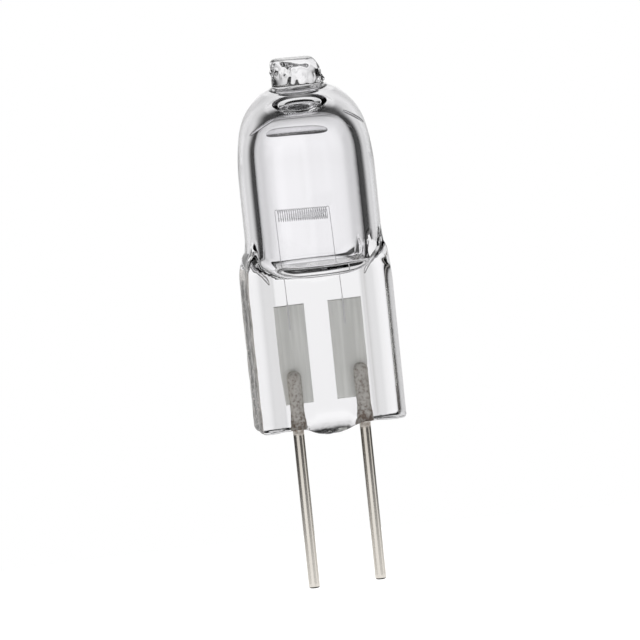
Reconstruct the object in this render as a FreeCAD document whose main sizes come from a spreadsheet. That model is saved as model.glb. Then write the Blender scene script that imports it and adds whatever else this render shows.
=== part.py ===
# A halogen capsule bulb with two pins: quartz glass, filament, sealing foils and pins.
# Millimetres, +Z up along the bulb, X along the line of the pins. The origin is midway between
# the pins, on the flat lower end of the pinch, where the lamp seats against its holder.
import FreeCAD, Part
import math
import os

import Sketcher

SIZES = {
    # The two outer pins
    "pin_spacing": 4.0,
    "pin_dia": 0.65,
    "pin_length": 9.5,  # below the pinch
    "pin_sunk": 3.45,  # inside the pinch
    "pin_tip_ease": 0.1,
    "neck_dia": 0.61,  # the bare wire above the bright, plated length
    "neck_drop": 0.5,  # where the neck starts, below the pinch
    "pin_gap": 0.12,  # between a pin and the channel that the glass leaves round it
    "mouth_flare": 0.14,  # how far a channel widens at its mouth
    "mouth_depth": 0.9,
    # The two sealing foils, which lie behind the pins
    "foil_width": 2.0,
    "foil_thickness": 0.05,
    "foil_base": 1.45,  # height of the lower end
    "foil_cover": 1.7,  # from the upper end to the top of the pinch
    "foil_trim": 0.22,  # how far the outer edge comes in at the lower end
    "foil_trim_length": 2.0,
    "left_foil_inset": 0.08,  # how far a foil's middle lies inside its pin's axis
    "right_foil_inset": 0.5,
    # The filament: a coil, two legs and their flattened feet on the foils
    "wire_dia": 0.08,
    "coil_dia": 0.8,
    "coil_pitch": 0.15,
    "coil_turns": 20,
    "coil_rise": 3.5,  # height of the coil's axis above the pinch
    "coil_offset": 0.37,  # how far the coil's middle lies to the left
    "leg_bend": 0.13,
    "left_foot_reach": 1.9,  # from the middle of the lamp to a foot
    "right_foot_reach": 1.4,
    "foot_width": 0.16,
    "foot_thickness": 0.05,
    "foot_length": 1.5,  # over the foil
    "foot_rise": 0.15,  # above the foil
    "foot_upright": 0.3,  # above the foil, where a leg starts to lean
    # The pinch: a thin web that slopes up to a thicker rib along each edge
    "pinch_width": 8.7,
    "pinch_height": 9.0,
    "web_thickness": 2.0,
    "rib_thickness": 2.9,
    "rib_flat": 0.6,
    "rib_slope": 1.25,
    "pinch_corner": 0.7,
    "lip_width": 3.0,  # the bead of glass that hangs between the pins
    "lip_drop": 0.58,
    "rib_runout": 1.45,  # above the pinch, where a rib leans in to the bulb
    "rib_step": 0.05,  # how far a rib still stands out at its upper end
    # The bulb and its closed tip
    "bulb_dia": 8.0,
    "bulb_wall": 1.0,
    "bulb_straight": 5.6,  # above the pinch, up to where the dome starts
    "base_ease": 0.45,
    "flat_inset": 0.95,  # how deep the sloping flat on each side cuts into the bulb's base
    "flat_rise": 1.25,
    "dome_draw": 0.2,  # how far the wall comes in over the lower dome
    "dome_draw_height": 2.73,
    "dome_corner": 1.42,
    "dome_corner_height": 2.42,
    "crown_rise": 0.31,
    "root_reach": 0.18,  # the slope where the tip grows out of the dome
    "root_rise": 0.24,
    "tip_dia": 3.2,
    "tip_length": 1.35,
    "tip_ease": 0.2,
    "tip_slant_start": 0.7,  # where the slanted cut leaves the flat top
    "tip_slant_drop": 0.6,
    # The hollow inside the bulb
    "floor_thickness": 0.5,
    "floor_slope": 0.45,
    "hollow_straight": 5.8,  # above the floor
    "hollow_draw": 0.25,
    "hollow_draw_height": 2.05,
    "hollow_corner": 1.22,
    "hollow_corner_height": 1.3,
    "roof_rise": 0.3,
}
ROUND_SHARE = 0.4  # of the step between web and rib, for the round at the pinch's edge
FLAT_OVERRUN = 0.3  # of a side flat's length, for the cut to run on past both its ends
SQUARE_SHARE = math.sqrt(math.pi) / 2  # side of a square wire, over the round wire of equal area


class Size:
    """A length with its value now and the sheet formula that keeps it up to date."""

    def __init__(self, value, formula):
        self.value = value
        self.formula = formula

    @staticmethod
    def of(number):
        return number if isinstance(number, Size) else Size(number, f"({number})")

    def __add__(self, other):
        other = Size.of(other)
        return Size(self.value + other.value, f"({self.formula} + {other.formula})")

    def __sub__(self, other):
        other = Size.of(other)
        return Size(self.value - other.value, f"({self.formula} - {other.formula})")

    def __mul__(self, other):
        other = Size.of(other)
        return Size(self.value * other.value, f"({self.formula} * {other.formula})")

    def __truediv__(self, other):
        other = Size.of(other)
        return Size(self.value / other.value, f"({self.formula} / {other.formula})")

    def __neg__(self):
        return self * -1


doc = FreeCAD.newDocument("halogen_capsule")
sheet = doc.addObject("Spreadsheet::Sheet", "sizes")
for row, (alias, number) in enumerate(SIZES.items(), start=1):
    sheet.set(f"A{row}", alias)
    sheet.set(f"B{row}", str(number))
    sheet.setAlias(f"B{row}", alias)
doc.recompute()


def size(alias):
    return Size(SIZES[alias], f"sizes.{alias}")


ZERO = Size(0.0, "0")

# Sizes that several pieces share
pin_radius = size("pin_dia") / 2
neck_radius = size("neck_dia") / 2
pin_reach = size("pin_spacing") / 2
foil_front = neck_radius
foil_top = size("pinch_height") - size("foil_cover")
wire_half = size("wire_dia") * SQUARE_SHARE / 2
coil_radius = (size("coil_dia") - size("wire_dia")) / 2
coil_axis_z = size("pinch_height") + size("coil_rise")
coil_length = size("coil_pitch") * size("coil_turns")
coil_left = -(coil_length / 2) - size("coil_offset")
coil_right = coil_left + coil_length
pinch_half = size("pinch_width") / 2
bulb_radius = size("bulb_dia") / 2
rib_top = size("pinch_height") + size("rib_runout")
dome_z = size("pinch_height") + size("bulb_straight")
waist_z = dome_z + size("dome_draw_height")
crown_z = waist_z + size("dome_corner_height")
root_z = crown_z + size("crown_rise")
tip_root = root_z + size("root_rise")
tip_top = tip_root + size("tip_length")


def bind(feature, name, length):
    feature.setExpression(name, length.formula)


def new_body(label):
    body = doc.addObject("PartDesign::Body", label)
    body.Label = label
    return body


def new_sketch(body, name, role, offset=None):
    """A sketch on one of the body's own planes, moved along its normal where offset is given."""
    sketch = body.newObject("Sketcher::SketchObject", name)
    plane = next(f for f in body.Origin.OriginFeatures if f.Role == role)
    sketch.AttachmentSupport = [(plane, "")]
    sketch.MapMode = "FlatFace"
    if offset is not None:
        bind(sketch, "AttachmentOffset.Base.z", offset)
    return sketch


def place_point(sketch, geometry, end, x, y):
    """Ties one end of a line or arc to the sheet: on an axis where a coordinate is ZERO."""
    for axis, kind, length in ((-2, "DistanceX", x), (-1, "DistanceY", y)):
        if length is ZERO:
            sketch.addConstraint(Sketcher.Constraint("PointOnObject", geometry, end, axis))
        else:
            mark = sketch.addConstraint(Sketcher.Constraint(kind, geometry, end, length.value))
            bind(sketch, f"Constraints[{mark}]", length)


def arc_centre(start, end, radius, turn):
    """Centre of the shorter arc from start to end, turning left (+1) or right (-1)."""
    chord = end - start
    across = FreeCAD.Vector(-chord.y, chord.x, 0).normalize()
    return start + chord / 2 + across * (turn * math.sqrt(radius**2 - (chord.Length / 2) ** 2))


def outline(sketch, steps, closed=True):
    """Draws an outline through the steps and ties all of it to the sheet.

    A step is (x, y) for a straight run to that corner, (x, y, "bend") for an arc that leaves the
    run before it without a corner, or (x, y, radius, turn) for an arc of that radius. An open
    outline starts at its first step, and a closed one comes back to it.
    """
    points = [FreeCAD.Vector(s[0].value, s[1].value, 0) for s in steps]
    first_run = 0 if closed else 1
    ends = {}
    heading = None
    for i in range(first_run, len(steps)):
        step, start, end = steps[i], points[i - 1], points[i]
        if len(step) == 2:
            drawn = sketch.addGeometry(Part.LineSegment(start, end), False)
            ends[i] = (drawn, 1, 2)
            heading = (end - start).normalize()
            continue
        chord = end - start
        if step[2] == "bend":
            side = heading.x * chord.y - heading.y * chord.x
            turn = 1 if side > 0 else -1
            radius = chord.Length**2 / (2 * abs(side))
        else:
            turn = step[3]
            radius = step[2].value
        centre = arc_centre(start, end, radius, turn)
        circle = Part.Circle(centre, FreeCAD.Vector(0, 0, 1), radius)
        first, last = (start, end) if turn > 0 else (end, start)
        angles = [math.atan2(p.y - centre.y, p.x - centre.x) for p in (first, last)]
        drawn = sketch.addGeometry(Part.ArcOfCircle(circle, *angles), False)
        ends[i] = (drawn, 1, 2) if turn > 0 else (drawn, 2, 1)
        spoke = end - centre
        heading = FreeCAD.Vector(-spoke.y, spoke.x, 0).normalize() * turn
        if step[2] != "bend":
            mark = sketch.addConstraint(Sketcher.Constraint("Radius", drawn, radius))
            bind(sketch, f"Constraints[{mark}]", step[2])
    for i, after in ends.items():
        step, before = steps[i], ends.get((i - 1) % len(steps))
        if before:
            kind = "Tangent" if len(step) == 3 else "Coincident"
            sketch.addConstraint(Sketcher.Constraint(kind, before[0], before[2], after[0], after[1]))
        else:
            place_point(sketch, after[0], after[1], *steps[0])
        place_point(sketch, after[0], after[2], step[0], step[1])


def upright_axis(sketch, x):
    """Adds a construction line parallel to the sketch's upright axis, for a turned feature."""
    foot = FreeCAD.Vector(x.value, 0, 0)
    line = sketch.addGeometry(Part.LineSegment(foot, foot + FreeCAD.Vector(0, 1, 0)), True)
    sketch.addConstraint(Sketcher.Constraint("Vertical", line))
    sketch.addConstraint(Sketcher.Constraint("Distance", line, 1.0))
    place_point(sketch, line, 1, x, ZERO)
    return (sketch, ["Axis0"])


def turned(body, kind, name, sketch, axis):
    feature = body.newObject(kind, name)
    feature.Profile = sketch
    feature.ReferenceAxis = axis
    feature.Angle = 360
    return feature


def pad(body, name, sketch, length, symmetric=False):
    feature = body.newObject("PartDesign::Pad", name)
    feature.Profile = sketch
    feature.SideType = "Symmetric" if symmetric else "One side"
    bind(feature, "Length", length)
    return feature


def through_pocket(body, name, sketch, length):
    """Cuts the sketch's shape out of the body, to the same depth on both sides of its plane."""
    feature = body.newObject("PartDesign::Pocket", name)
    feature.Profile = sketch
    feature.SideType = "Symmetric"
    bind(feature, "Length", length)
    return feature


def rectangle(x0, x1, y0, y1):
    return [(x0, y0), (x1, y0), (x1, y1), (x0, y1)]


def make_pin(label, side):
    """A round pin with an eased tip and a slightly thinner neck, which runs up into the glass."""
    body = new_body(label)
    sketch = new_sketch(body, f"{label}_profile", "XZ_Plane")
    ease = size("pin_tip_ease")
    low, neck, high = -size("pin_length"), -size("neck_drop"), size("pin_sunk")
    outline(
        sketch,
        [
            (ZERO, low),
            (pin_radius - ease, low),
            (pin_radius, low + ease),
            (pin_radius, neck),
            (neck_radius, neck),
            (neck_radius, high),
            (ZERO, high),
        ],
    )
    turned(body, "PartDesign::Revolution", f"{label}_turned", sketch, (sketch, ["V_Axis"]))
    bind(body, "Placement.Base.x", pin_reach * side)
    return body


def make_foil(label, side, inset):
    """A flat foil behind its pin, with the outer edge trimmed in towards the lower end."""
    body = new_body(label)
    sketch = new_sketch(body, f"{label}_outline", "XZ_Plane")
    half = size("foil_width") / 2
    low = size("foil_base")
    outer_low = (half - size("foil_trim")) * side
    trim_z = low + size("foil_trim_length")
    outline(
        sketch,
        [
            (-half * side, low),
            (outer_low, low),
            (half * side, trim_z),
            (half * side, foil_top),
            (-half * side, foil_top),
        ],
    )
    pad(body, f"{label}_sheet", sketch, size("foil_thickness"), symmetric=True)
    bind(body, "Placement.Base.x", (pin_reach - inset) * side)
    bind(body, "Placement.Base.y", foil_front + size("foil_thickness") / 2)
    return body


def wire_section(x, y):
    """The filament wire's section: a square with the area of the round wire, for fewer faces."""
    return rectangle(x - wire_half, x + wire_half, y - wire_half, y + wire_half)


def add_leg(body, name, side, coil_end, foot_x):
    """One leg of the filament: out of the coil's top, over a bend, straight down to a flat foot."""
    leg_x = coil_end + size("leg_bend") * side
    coil_top = coil_axis_z + coil_radius
    start_z = foil_top + size("foot_rise") / 2
    path = new_sketch(body, f"{name}_path", "XZ_Plane")
    outline(
        path,
        [
            (foot_x, start_z),
            (foot_x, foil_top + size("foot_upright")),
            (leg_x, coil_top - size("leg_bend")),
            (coil_end, coil_top, "bend"),
            (coil_end - wire_half * side, coil_top),
        ],
        closed=False,
    )
    section = new_sketch(body, f"{name}_section", "XY_Plane", start_z)
    outline(section, wire_section(foot_x, ZERO))
    pipe = body.newObject("PartDesign::AdditivePipe", f"{name}_wire")
    pipe.Profile = section
    pipe.Spine = (path, [])
    pipe.Transition = "Right corner"
    foot = new_sketch(body, f"{name}_foot_outline", "XY_Plane", foil_top - size("foot_length"))
    half = size("foot_width") / 2
    outline(
        foot,
        rectangle(foot_x - half, foot_x + half, wire_half - size("foot_thickness"), wire_half),
    )
    pad(body, f"{name}_foot", foot, size("foot_length") + size("foot_rise"))


def make_filament(label):
    """The coil with its axis along X, and a leg down from each end, as one wire."""
    body = new_body(label)
    section = new_sketch(body, "coil_section", "XZ_Plane")
    axis_ends = [FreeCAD.Vector(x.value, coil_axis_z.value, 0) for x in (coil_left, coil_right)]
    axis = section.addGeometry(Part.LineSegment(*axis_ends), True)
    place_point(section, axis, 1, coil_left, coil_axis_z)
    place_point(section, axis, 2, coil_right, coil_axis_z)
    outline(section, wire_section(coil_left, coil_axis_z + coil_radius))
    coil = body.newObject("PartDesign::AdditiveHelix", "coil")
    coil.Profile = section
    coil.ReferenceAxis = (section, ["Axis0"])
    coil.Mode = "pitch-turns-angle"
    bind(coil, "Pitch", size("coil_pitch"))
    bind(coil, "Turns", size("coil_turns"))
    add_leg(body, "left_leg", -1, coil_left, -size("left_foot_reach"))
    add_leg(body, "right_leg", 1, coil_right, size("right_foot_reach"))
    bind(body, "Placement.Base.y", foil_front - wire_half)
    return body


def rib_section():
    """The pinch's level section: a web that slopes up to a thicker rib at each edge."""
    web = size("web_thickness") / 2
    rib = size("rib_thickness") / 2
    ease = (rib - web) * ROUND_SHARE
    outer = pinch_half - size("rib_flat")
    quarter = [
        (outer - size("rib_slope"), -web),
        (outer, -rib),
        (pinch_half - ease, -rib),
        (pinch_half, -rib + ease, "bend"),
    ]
    corners = [(s[0], s[1]) for s in quarter]
    bends = [len(s) == 3 for s in quarter]

    def turned_quarter(x_sign, y_sign, forward):
        order = corners if forward else corners[::-1]
        rounds = bends if forward else [False] + bends[:0:-1]
        placed = [(x * x_sign, y * -y_sign) for x, y in order]
        return [(*p, "bend") if r else p for p, r in zip(placed, rounds)]

    return (
        turned_quarter(1, -1, True)
        + turned_quarter(1, 1, False)
        + turned_quarter(-1, 1, True)
        + turned_quarter(-1, -1, False)
    )


def pinch_trim():
    """What is trimmed off the pinch, seen from the front: round the bead of glass and the ribs."""
    corner = size("pinch_corner")
    drop = size("lip_drop")
    lip_half = size("lip_width") / 2
    lip_radius = (lip_half * lip_half + drop * drop) / (drop * 2)
    margin = pinch_half + size("rib_flat")
    shoulder = bulb_radius + size("rib_step")
    above = rib_top + drop
    return [
        (-margin, -drop * 2),
        (margin, -drop * 2),
        (margin, above),
        (shoulder, above),
        (shoulder, rib_top),
        (pinch_half, size("pinch_height")),
        (pinch_half, corner),
        (pinch_half - corner, ZERO, "bend"),
        (lip_half, ZERO),
        (-lip_half, ZERO, lip_radius, -1),
        (corner - pinch_half, ZERO),
        (-pinch_half, corner, "bend"),
        (-pinch_half, size("pinch_height")),
        (-shoulder, rib_top),
        (-shoulder, above),
        (-margin, above),
    ]


def side_flat(side):
    """What the sloping flat on one side cuts off the bulb's base, seen from the front."""
    run, rise = size("flat_inset"), size("flat_rise")
    low_x = bulb_radius - run * (1 + FLAT_OVERRUN)
    high_x = bulb_radius + run * FLAT_OVERRUN
    low_z = size("pinch_height") - rise * FLAT_OVERRUN
    high_z = size("pinch_height") + rise * (1 + FLAT_OVERRUN)
    return [(low_x * side, low_z), (high_x * side, low_z), (high_x * side, high_z)]


def bulb_profile():
    """Half of the bulb's outside: eased base, straight wall, dome and closed tip."""
    waist = bulb_radius - size("dome_draw")
    tip = size("tip_dia") / 2
    ease = size("tip_ease")
    base = size("base_ease")
    return [
        (ZERO, size("pinch_height")),
        (bulb_radius - base, size("pinch_height")),
        (bulb_radius, size("pinch_height") + base),
        (bulb_radius, dome_z),
        (waist, waist_z, "bend"),
        (waist - size("dome_corner"), crown_z, "bend"),
        (tip + size("root_reach"), root_z),
        (tip, tip_root),
        (tip, tip_top - ease),
        (tip - ease, tip_top),
        (ZERO, tip_top),
    ]


def hollow_profile():
    """Half of the hollow inside the bulb, which follows the dome and ends in a low peak."""
    radius = bulb_radius - size("bulb_wall")
    waist = radius - size("hollow_draw")
    floor = size("pinch_height") + size("floor_thickness")
    slope = size("floor_slope")
    arch = floor + size("hollow_straight")
    arch_waist = arch + size("hollow_draw_height")
    arch_top = arch_waist + size("hollow_corner_height")
    return [
        (ZERO, floor),
        (radius - slope, floor),
        (radius, floor + slope),
        (radius, arch),
        (waist, arch_waist, "bend"),
        (waist - size("hollow_corner"), arch_top, "bend"),
        (ZERO, arch_top + size("roof_rise")),
    ]


def channel_profile(axis_x):
    """Half of the channel round a pin's neck, with a flared mouth and a narrowed upper end."""
    bore = neck_radius + size("pin_gap")
    mouth = bore + size("mouth_flare")
    below = -size("pin_gap")
    end = size("pin_sunk") + size("pin_gap")
    return [
        (axis_x, below),
        (axis_x + mouth, below),
        (axis_x + mouth, ZERO),
        (axis_x + bore, size("mouth_depth")),
        (axis_x + bore, size("pin_sunk")),
        (axis_x + neck_radius, end),
        (axis_x, end),
    ]


def make_glass_blank():
    """The quartz before its foils and legs are sealed in: bulb, pinch, hollow and pin channels."""
    body = new_body("glass_blank")
    bulb = new_sketch(body, "bulb_profile", "XZ_Plane")
    outline(bulb, bulb_profile())
    turned(body, "PartDesign::Revolution", "bulb", bulb, (bulb, ["V_Axis"]))
    flats = new_sketch(body, "side_flat_outlines", "XZ_Plane")
    for side in (-1, 1):
        outline(flats, side_flat(side))
    through_pocket(body, "side_flats", flats, size("bulb_dia") * 2)
    section = new_sketch(body, "pinch_section", "XY_Plane", -size("lip_drop"))
    outline(section, rib_section())
    pad(body, "pinch_block", section, rib_top + size("lip_drop"))
    front = new_sketch(body, "pinch_front", "XZ_Plane")
    outline(front, pinch_trim())
    through_pocket(body, "pinch_trim", front, size("rib_thickness") * 2)
    slant = new_sketch(body, "tip_slant_outline", "XZ_Plane")
    tip = size("tip_dia") / 2
    outline(
        slant,
        [
            (size("tip_slant_start"), tip_top),
            (tip, tip_top - size("tip_slant_drop")),
            (tip * 2, tip_top - size("tip_slant_drop")),
            (tip * 2, tip_top + size("tip_slant_drop")),
            (size("tip_slant_start"), tip_top + size("tip_slant_drop")),
        ],
    )
    through_pocket(body, "tip_slant", slant, size("tip_dia") * 2)
    hollow = new_sketch(body, "hollow_profile", "XZ_Plane")
    outline(hollow, hollow_profile())
    turned(body, "PartDesign::Groove", "hollow", hollow, (hollow, ["V_Axis"]))
    for name, side in (("left", -1), ("right", 1)):
        channel = new_sketch(body, f"{name}_channel_profile", "XZ_Plane")
        axis = upright_axis(channel, pin_reach * side)
        outline(channel, channel_profile(pin_reach * side))
        turned(body, "PartDesign::Groove", f"{name}_channel", channel, axis)
    return body


def seal(label, glass, inserts):
    """Cuts the inserts' own shapes out of the glass, which is fused tight round them."""
    for number, insert in enumerate(inserts, start=1):
        cut = doc.addObject("Part::Cut", f"{label}_{number}")
        cut.Base = glass
        cut.Tool = insert
        glass = cut
    glass.Label = label
    return glass


left_pin = make_pin("left_pin", -1)
right_pin = make_pin("right_pin", 1)
left_foil = make_foil("left_foil", -1, size("left_foil_inset"))
right_foil = make_foil("right_foil", 1, size("right_foil_inset"))
filament = make_filament("filament")
glass_capsule = seal("glass_capsule", make_glass_blank(), [left_foil, right_foil, filament])
doc.recompute()

for feature in doc.Objects:
    if "Invalid" in feature.State or "Error" in feature.State:
        raise RuntimeError(f"{feature.Label} failed: {feature.State}")

pieces = [glass_capsule, filament, left_foil, right_foil, left_pin, right_pin]
for piece in pieces:
    if piece.Shape.isNull() or not piece.Shape.isValid() or len(piece.Shape.Solids) != 1:
        raise RuntimeError(f"{piece.Label} is not one sound solid")

os.makedirs("parts", exist_ok=True)
for piece in pieces:
    piece.Shape.Solids[0].exportStep(f"parts/{piece.Label}.step")
    print(piece.Label, round(piece.Shape.Volume, 4), "mm3")
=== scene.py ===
"""The look of a small halogen capsule bulb: clear quartz, coiled filament, sealing foils and pins.

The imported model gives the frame. Each piece here is a surface worked out as a whole array, in
millimetres, and put into its mesh in metres. +Z runs up the bulb and X along the line of the pins.
"""

from __future__ import annotations

import logging
import math
from dataclasses import dataclass, replace
from enum import Enum

import bmesh
import bpy
import numpy as np
from mathutils import Matrix, Vector

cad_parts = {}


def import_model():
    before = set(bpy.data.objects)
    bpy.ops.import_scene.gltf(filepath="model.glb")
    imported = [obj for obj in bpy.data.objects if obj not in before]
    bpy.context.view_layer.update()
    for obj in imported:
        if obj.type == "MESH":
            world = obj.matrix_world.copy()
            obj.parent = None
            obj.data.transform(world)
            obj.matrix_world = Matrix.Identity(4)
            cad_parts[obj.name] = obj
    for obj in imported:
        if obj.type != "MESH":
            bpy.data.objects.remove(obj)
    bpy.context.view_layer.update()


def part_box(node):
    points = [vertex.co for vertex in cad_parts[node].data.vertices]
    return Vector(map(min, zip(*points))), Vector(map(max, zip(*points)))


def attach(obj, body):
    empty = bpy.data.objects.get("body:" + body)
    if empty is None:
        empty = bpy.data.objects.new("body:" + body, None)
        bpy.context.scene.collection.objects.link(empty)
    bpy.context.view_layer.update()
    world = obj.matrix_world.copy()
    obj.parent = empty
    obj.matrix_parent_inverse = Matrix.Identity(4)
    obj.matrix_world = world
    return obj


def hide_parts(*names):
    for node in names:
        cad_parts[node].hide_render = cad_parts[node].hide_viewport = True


LOG = logging.getLogger("halogen_capsule")
MM = 0.001
BODY = "root"
PHOTO_PIXELS = 640
GOLDEN_TURN = 2.4
GOLDEN_SHARE = 0.618
COIL_DROP = 0.4

Pair = tuple[float, float]
Triple = tuple[float, float, float]
Colour = tuple[float, float, float, float]
Array = np.ndarray
Material = bpy.types.Material
Socket = bpy.types.NodeSocket


class Slot(Enum):
    """The record's material slots."""

    QUARTZ = "quartz"
    TUNGSTEN = "tungsten"
    MOLYBDENUM = "molybdenum"
    NICKEL = "nickel"


def smooth_min(a: Array, b: Array, width: float) -> Array:
    """Joins two distance fields with a round of about the given width.

    Args:
        a: First field.
        b: Second field.
        width: How far apart the fields may be and still blend.

    Returns:
        The smaller field, eased by a parabola where the two are within the width.
    """
    share = np.clip(0.5 + 0.5 * (b - a) / width, 0.0, 1.0)
    return b + (a - b) * share - width * share * (1.0 - share)


def smooth_max(a: Array, b: Array, width: float) -> Array:
    """Crosses two distance fields with a round of about the given width, as smooth_min joins them."""
    return -smooth_min(-a, -b, width)


def ramp(value: Array, low: float, high: float) -> Array:
    """Share of the way from low to high, kept within 0 and 1."""
    return np.clip((value - low) / (high - low), 0.0, 1.0)


def smooth_ramp(value: Array, low: float, high: float) -> Array:
    """Share of the way from low to high, eased at both ends: s^2 (3 - 2 s)."""
    share = ramp(value, low, high)
    return share**2 * (3.0 - 2.0 * share)


def rounded_box(x: Array, y: Array, half: Pair, ease: float) -> Array:
    """Distance to a rectangle with rounded corners: outside length plus inside depth, less the round.

    Args:
        x: Across, from the middle.
        y: Along, from the middle.
        half: Half of the width and of the height.
        ease: Corner radius.

    Returns:
        Signed distance, negative inside.
    """
    across, along = np.abs(x) - (half[0] - ease), np.abs(y) - (half[1] - ease)
    outside = np.hypot(np.maximum(across, 0.0), np.maximum(along, 0.0))
    return outside + np.minimum(np.maximum(across, along), 0.0) - ease


def arc(centre: Pair, radius: float, start: float, stop: float, count: int) -> Array:
    """Points on a circle's arc, without its last end.

    Args:
        centre: Middle of the circle.
        radius: Its radius.
        start: First angle in degrees.
        stop: Last angle in degrees.
        count: How many points.

    Returns:
        Array of count by 2: centre + radius * (cos, sin).
    """
    turn = np.radians(np.linspace(start, stop, count, endpoint=False))
    return np.column_stack((centre[0] + radius * np.cos(turn), centre[1] + radius * np.sin(turn)))


def run(start: Pair, stop: Pair, count: int) -> Array:
    """Points on a straight run, without its last end: start + share * (stop - start)."""
    share = np.linspace(0.0, 1.0, count, endpoint=False)[:, None]
    return np.array(start) * (1.0 - share) + np.array(stop) * share


def joined(*parts: Array | list[Pair]) -> Array:
    """A profile from its parts, one after another."""
    return np.concatenate(parts)


def tangent_arc(start: Pair, heading: float, stop: Pair, count: int) -> tuple[Array, float]:
    """An arc that leaves start along a heading and reaches stop.

    The chord makes half of the arc's turn with the heading, so radius = chord / (2 sin(turn / 2)).

    Args:
        start: First point.
        heading: Direction at the first point in degrees.
        stop: Last point.
        count: How many points, the last end not among them.

    Returns:
        The points, count by 2, and the heading at the end in degrees.
    """
    chord = np.subtract(stop, start)
    bearing = math.degrees(math.atan2(chord[1], chord[0]))
    turn = 2.0 * ((bearing - heading + 180.0) % 360.0 - 180.0)
    radius = np.hypot(*chord) / (2.0 * math.sin(math.radians(abs(turn) / 2.0)))
    spoke = heading - math.copysign(90.0, turn)
    centre = (
        start[0] - radius * math.cos(math.radians(spoke)),
        start[1] - radius * math.sin(math.radians(spoke)),
    )
    return arc(centre, radius, spoke, spoke + turn, count), heading + turn


def revolve(profile: Array, turns: Array) -> Array:
    """Turns a profile about the Z axis.

    Args:
        profile: Rows of (radius, height).
        turns: Angles of the columns in radians, counted from +X.

    Returns:
        Grid of rows by columns by 3: (r cos a, r sin a, z).
    """
    radius, height = profile[:, :1], profile[:, 1:]
    return np.stack(
        (radius * np.cos(turns), radius * np.sin(turns), height + np.zeros_like(turns)), axis=-1
    )


def even_turns(count: int) -> Array:
    """Equal angles round a circle in radians, with none repeated."""
    return np.linspace(0.0, 2.0 * np.pi, count, endpoint=False)


@dataclass
class Shell:
    """A closed surface as a grid: rows along it, columns round it, its ends drawn to points or lines.

    The grid is rows by columns by 3, in millimetres. An inward one is a hollow: its faces look into it.
    """

    grid: Array
    inward: bool = False

    def faces(self, first: int) -> Array:
        """Quads between neighbouring rows and columns, the last column joined to the first.

        Args:
            first: Number of the grid's first vertex in the mesh.

        Returns:
            Array of four vertex numbers per quad, looking outwards or, for a hollow, inwards.
        """
        rows, columns = self.grid.shape[:2]
        index = first + np.arange(rows * columns).reshape(rows, columns)
        beside = np.roll(index, -1, axis=1)
        quads = np.stack((index[:-1], beside[:-1], beside[1:], index[1:]), axis=-1).reshape(-1, 4)
        return quads[:, ::-1] if self.inward else quads


class Piece:
    """One finished piece of the lamp."""

    MERGE_M = 1e-7
    SIDE_DEPTH = 0.12
    SIDE_FACING = 0.6

    def __init__(self, name: str, shells: list[Shell], material: Material) -> None:
        """Makes the mesh from its shells, with doubled points merged, and gives it its material.

        Args:
            name: The piece's name.
            shells: Its surfaces.
            material: Its finish.
        """
        counts = np.cumsum([0] + [shell.grid[..., 0].size for shell in shells])
        points = np.concatenate([shell.grid.reshape(-1, 3) for shell in shells]) * MM
        quads = np.concatenate([shell.faces(first) for shell, first in zip(shells, counts)])
        mesh = bpy.data.meshes.new(name)
        mesh.vertices.add(len(points))
        mesh.vertices.foreach_set("co", points.astype(np.float32).ravel())
        mesh.loops.add(quads.size)
        mesh.loops.foreach_set("vertex_index", quads.astype(np.int32).ravel())
        mesh.polygons.add(len(quads))
        mesh.polygons.foreach_set("loop_start", np.arange(0, quads.size, 4, dtype=np.int32))
        mesh.update(calc_edges=True)
        self._merge(mesh)
        mesh.polygons.foreach_set("use_smooth", np.ones(len(mesh.polygons), dtype=bool))
        mesh.materials.append(material)
        self.object = bpy.data.objects.new(name, mesh)
        bpy.context.scene.collection.objects.link(self.object)

    @classmethod
    def _merge(cls, mesh: bpy.types.Mesh) -> None:
        """Merges the doubled points of the poles and drops what they leave without area."""
        work = bmesh.new()
        work.from_mesh(mesh)
        bmesh.ops.remove_doubles(work, verts=work.verts, dist=cls.MERGE_M)
        work.to_mesh(mesh)
        work.free()
        mesh.validate()

    def dress_sides(self, half_width: float, material: Material) -> None:
        """Gives a second material to the faces that look sideways at a half width in millimetres."""
        mesh = self.object.data
        middle, normal = (np.empty(3 * len(mesh.polygons), dtype=np.float32) for _ in range(2))
        mesh.polygons.foreach_get("center", middle)
        mesh.polygons.foreach_get("normal", normal)
        out = np.abs(middle[::3]) > (half_width - self.SIDE_DEPTH) * MM
        side = out & (np.abs(normal[::3]) > self.SIDE_FACING)
        mesh.materials.append(material)
        mesh.polygons.foreach_set("material_index", side.astype(np.int32))

    def stands_for(self, node: str, slot: Slot) -> None:
        """Puts the piece in the place of a CAD node, on the lamp's body."""
        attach(self.object, BODY)
        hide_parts(node)
        LOG.info("%s: %d faces, for %s", self.object.name, len(self.object.data.polygons), node)


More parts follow.
